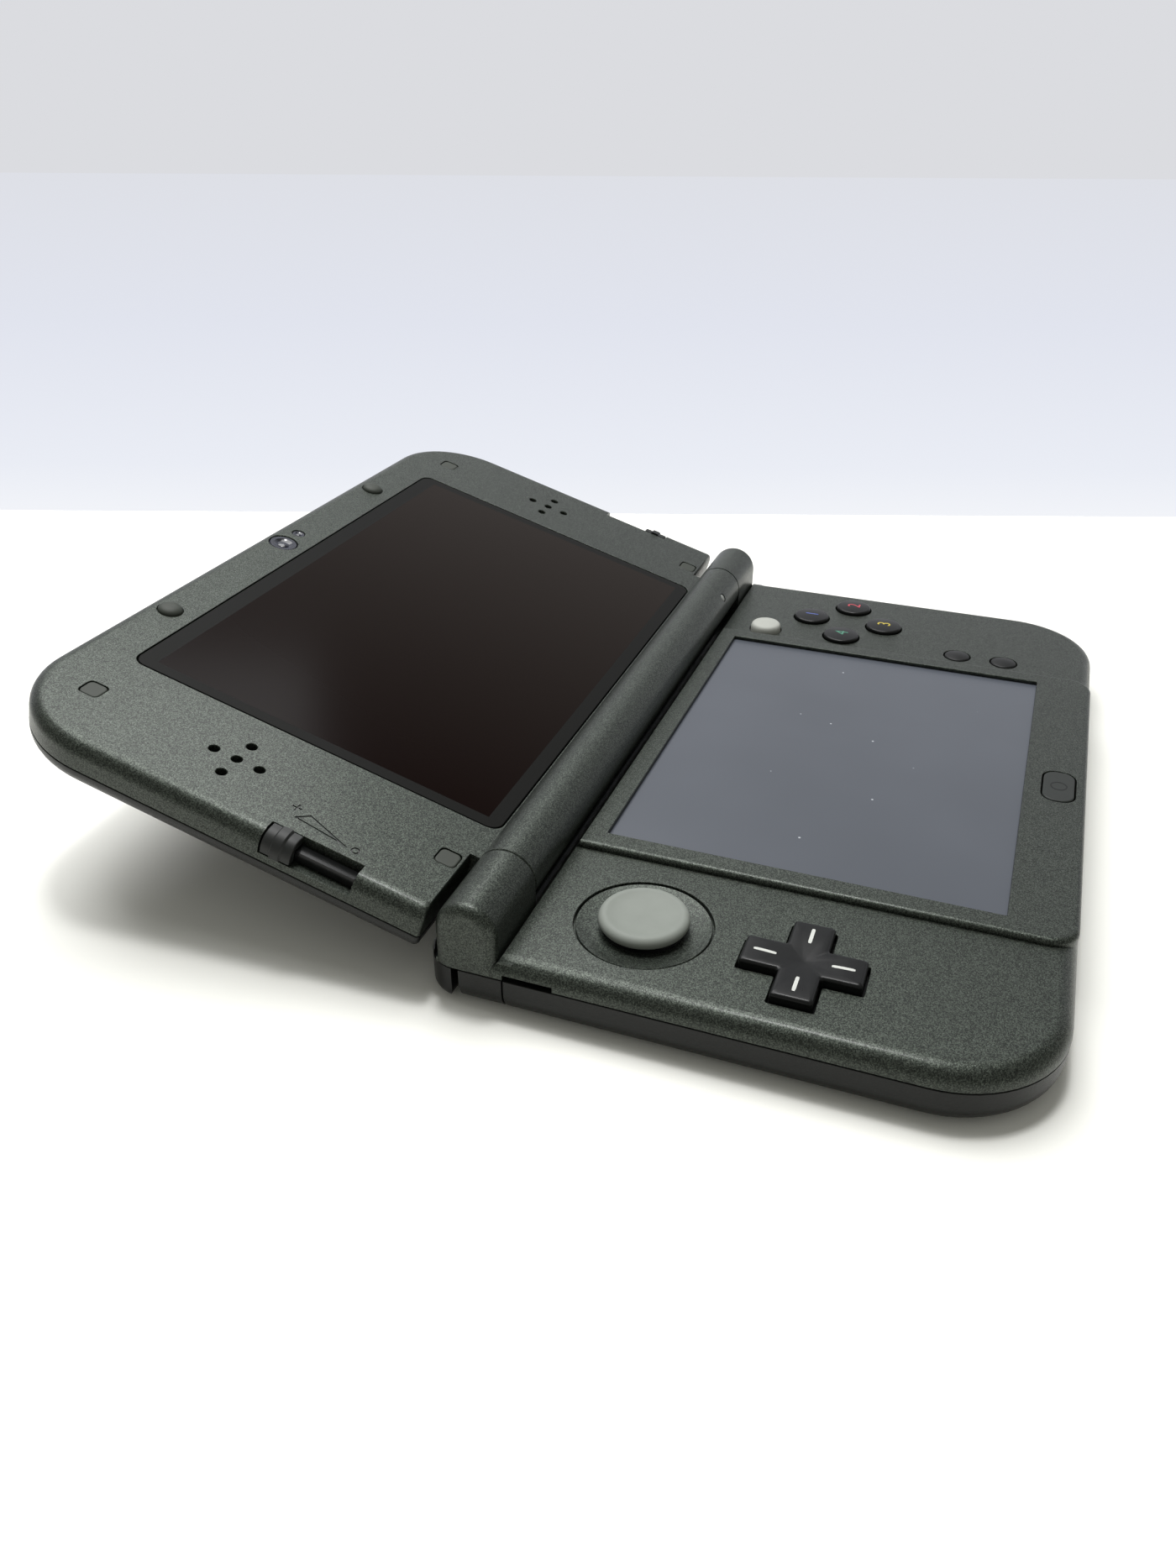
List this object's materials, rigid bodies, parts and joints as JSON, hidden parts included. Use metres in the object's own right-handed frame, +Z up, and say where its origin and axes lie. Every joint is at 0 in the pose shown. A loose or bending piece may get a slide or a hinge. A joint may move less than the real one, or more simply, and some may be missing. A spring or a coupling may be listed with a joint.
{
  "type": "clamshell handheld game console",
  "caption": "Hinged handheld console with two screens, a slide pad, a direction pad, push buttons, shoulder buttons, lid sliders and a stylus.",
  "frame": {"origin": "middle of the flat underside of the base", "axes": "+X to the player's right, +Y away from the player towards the hinge and the open lid, +Z up out of the control face"},
  "size_m": [0.1606, 0.1703, 0.0381],
  "materials": {
    "shell": "satin, with fine metallic flakes",
    "rear_shell": "satin",
    "black_gloss": "semi-gloss",
    "black_matte": "matte",
    "bumper": "matte",
    "pad_rubber": "matte",
    "nub_rubber": "matte",
    "dome_sheet": "matte",
    "upper_lens": "polished, near black",
    "touch_panel": "smooth, grey",
    "display_glass": "polished",
    "camera_lens": "polished",
    "steel": "plain",
    "board": "solder mask",
    "battery": "plain",
    "indicator": "translucent"
  },
  "bodies": {
    "base": {"base_control_shell": "shell", "slide_pad_dish": "shell", "rear_cover": "rear_shell", "base_middle_frame": "rear_shell", "slide_pad_box": "black_matte", "headphone_jack": "black_matte", "camera_stick_nub": "nub_rubber", "button_dome_sheet": "dome_sheet", "touch_panel": "touch_panel", "lower_display": "display_glass", "hinge_pin_left": "steel", "hinge_pin_right": "steel", "game_card_slot": "steel", "charge_port": "steel", "rear_cover_screw_left": "steel", "rear_cover_screw_right": "steel", "main_board": "board", "battery_pack": "battery"},
    "lid": {"lid_bezel": "shell", "lid_cover": "shell", "upper_screen_lens": "upper_lens", "upper_display": "display_glass", "inner_camera": "camera_lens", "infrared_lens": "camera_lens", "outer_camera_left": "camera_lens", "outer_camera_right": "camera_lens", "speaker_left": "black_matte", "speaker_right": "black_matte", "volume_track": "black_matte", "depth_track": "black_matte", "bumper_left": "bumper", "bumper_right": "bumper", "screw_cover_lower_left": "bumper", "screw_cover_lower_right": "bumper", "screw_cover_upper_left": "bumper", "screw_cover_upper_right": "bumper", "hinge_cartridge_left": "steel", "hinge_cartridge_right": "steel", "indicator_light": "indicator"},
    "slide_pad": {"slide_pad_cap": "pad_rubber", "slide_pad_skirt": "black_matte"},
    "slide_pad_carriage": {"slide_pad_carriage": "black_matte"},
    "direction_pad": {"direction_pad": "black_gloss"},
    "direction_pad_pivot": {"direction_pad_pivot": "steel"},
    "action_button_top": {"action_button_top": "black_gloss"},
    "action_button_right": {"action_button_right": "black_gloss"},
    "action_button_bottom": {"action_button_bottom": "black_gloss"},
    "action_button_left": {"action_button_left": "black_gloss"},
    "select_button": {"select_button": "black_gloss"},
    "start_button": {"start_button": "black_gloss"},
    "home_button": {"home_button": "black_gloss"},
    "power_button": {"power_button": "black_gloss"},
    "shoulder_button_left": {"shoulder_button_left": "black_gloss"},
    "shoulder_button_right": {"shoulder_button_right": "black_gloss"},
    "inner_trigger_left": {"inner_trigger_left": "black_gloss"},
    "inner_trigger_right": {"inner_trigger_right": "black_gloss"},
    "stylus": {"stylus": "black_matte"},
    "volume_slider": {"volume_slider": "black_matte"},
    "depth_slider": {"depth_slider": "black_matte"}
  },
  "joints": [
    {"name": "lid_hinge", "type": "hinge", "parent": "base", "child": "lid", "pos_m": [0, 0.03925, 0.0137], "axis": [1, 0, 0], "range_deg": [0, 164]},
    {"name": "slide_pad_sideways", "type": "slide", "parent": "base", "child": "slide_pad_carriage", "axis": [1, 0, 0], "range_m": [-0.0024, 0.0024], "stiffness_N_per_m": 150},
    {"name": "slide_pad_lengthways", "type": "slide", "parent": "slide_pad_carriage", "child": "slide_pad", "axis": [0, 1, 0], "range_m": [-0.0024, 0.0024], "stiffness_N_per_m": 150},
    {"name": "direction_pad_pitch", "type": "hinge", "parent": "base", "child": "direction_pad_pivot", "pos_m": [-0.0651, -0.0086, 0.008], "axis": [1, 0, 0], "range_deg": [-3, 3], "stiffness_Nm_per_rad": 0.05},
    {"name": "direction_pad_roll", "type": "hinge", "parent": "direction_pad_pivot", "child": "direction_pad", "pos_m": [-0.0651, -0.0086, 0.008], "axis": [0, 1, 0], "range_deg": [-3, 3], "stiffness_Nm_per_rad": 0.05},
    {"name": "action_button_top_press", "type": "slide", "parent": "base", "child": "action_button_top", "axis": [0, 0, -1], "range_m": [0, 0.0005], "stiffness_N_per_m": 400, "springref_m": -0.0003},
    {"name": "action_button_right_press", "type": "slide", "parent": "base", "child": "action_button_right", "axis": [0, 0, -1], "range_m": [0, 0.0005], "stiffness_N_per_m": 400, "springref_m": -0.0003},
    {"name": "action_button_bottom_press", "type": "slide", "parent": "base", "child": "action_button_bottom", "axis": [0, 0, -1], "range_m": [0, 0.0005], "stiffness_N_per_m": 400, "springref_m": -0.0003},
    {"name": "action_button_left_press", "type": "slide", "parent": "base", "child": "action_button_left", "axis": [0, 0, -1], "range_m": [0, 0.0005], "stiffness_N_per_m": 400, "springref_m": -0.0003},
    {"name": "select_button_press", "type": "slide", "parent": "base", "child": "select_button", "axis": [0, 0, -1], "range_m": [0, 0.0004], "stiffness_N_per_m": 400, "springref_m": -0.0003},
    {"name": "start_button_press", "type": "slide", "parent": "base", "child": "start_button", "axis": [0, 0, -1], "range_m": [0, 0.0004], "stiffness_N_per_m": 400, "springref_m": -0.0003},
    {"name": "home_button_press", "type": "slide", "parent": "base", "child": "home_button", "axis": [0, 0, -1], "range_m": [0, 0.0004], "stiffness_N_per_m": 400, "springref_m": -0.0003},
    {"name": "power_button_press", "type": "slide", "parent": "base", "child": "power_button", "axis": [0, 1, 0], "range_m": [0, 0.0005], "stiffness_N_per_m": 400, "springref_m": -0.0003},
    {"name": "shoulder_button_left_press", "type": "hinge", "parent": "base", "child": "shoulder_button_left", "pos_m": [-0.0575, 0.04433, 0.0006], "axis": [0, 0, 1], "range_deg": [0, 3], "stiffness_Nm_per_rad": 0.19, "springref_deg": -1.15},
    {"name": "inner_trigger_left_press", "type": "hinge", "parent": "base", "child": "inner_trigger_left", "pos_m": [-0.0463, 0.04433, 0.0006], "axis": [0, 0, 1], "range_deg": [0, 4], "stiffness_Nm_per_rad": 0.19, "springref_deg": -1.15},
    {"name": "shoulder_button_right_press", "type": "hinge", "parent": "base", "child": "shoulder_button_right", "pos_m": [0.0575, 0.04433, 0.0006], "axis": [0, 0, -1], "range_deg": [0, 3], "stiffness_Nm_per_rad": 0.19, "springref_deg": -1.15},
    {"name": "inner_trigger_right_press", "type": "hinge", "parent": "base", "child": "inner_trigger_right", "pos_m": [0.0463, 0.04433, 0.0006], "axis": [0, 0, -1], "range_deg": [0, 4], "stiffness_Nm_per_rad": 0.19, "springref_deg": -1.15},
    {"name": "stylus_pull", "type": "slide", "parent": "base", "child": "stylus", "axis": [0, -1, 0], "range_m": [0, 0.087]},
    {"name": "volume_slide", "type": "slide", "parent": "lid", "child": "volume_slider", "axis": [0, -0.9613, -0.2756], "range_m": [0, 0.0103]},
    {"name": "depth_slide", "type": "slide", "parent": "lid", "child": "depth_slider", "axis": [0, 0.9613, 0.2756], "range_m": [0, 0.0103]}
  ]
}
